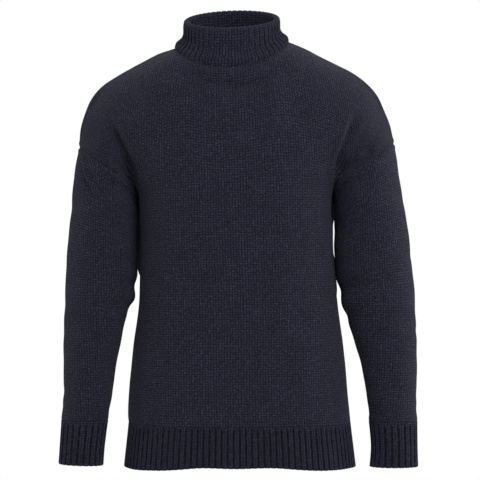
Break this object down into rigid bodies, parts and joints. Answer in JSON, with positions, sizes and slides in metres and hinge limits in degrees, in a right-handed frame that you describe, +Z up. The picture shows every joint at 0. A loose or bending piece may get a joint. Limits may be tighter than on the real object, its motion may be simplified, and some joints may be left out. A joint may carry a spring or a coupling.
{
  "type": "turtleneck sweater",
  "caption": "Knitted roll-neck sweater in the rounded form it has when worn, with a folded ribbed collar, dropped shoulders and ribbed cuffs and hem.",
  "frame": {"origin": "middle of the neck base, where the shoulders of the wearer carry the garment", "axes": "+Z up from hem to collar, the front faces -Y, +X is the wearer's left"},
  "size_m": [0.5892, 0.2389, 0.7563],
  "materials": {
    "plain_knit": "matt navy-charcoal marl wool, plain stocking stitch",
    "rib_knit": "matt navy-charcoal marl wool, ribbed"
  },
  "bodies": {
    "root": {"front_panel": "plain_knit", "back_panel": "plain_knit", "right_sleeve": "plain_knit", "left_sleeve": "plain_knit", "front_hem_rib": "rib_knit", "back_hem_rib": "rib_knit", "right_cuff_rib": "rib_knit", "left_cuff_rib": "rib_knit", "roll_collar": "rib_knit"}
  },
  "joints": []
}
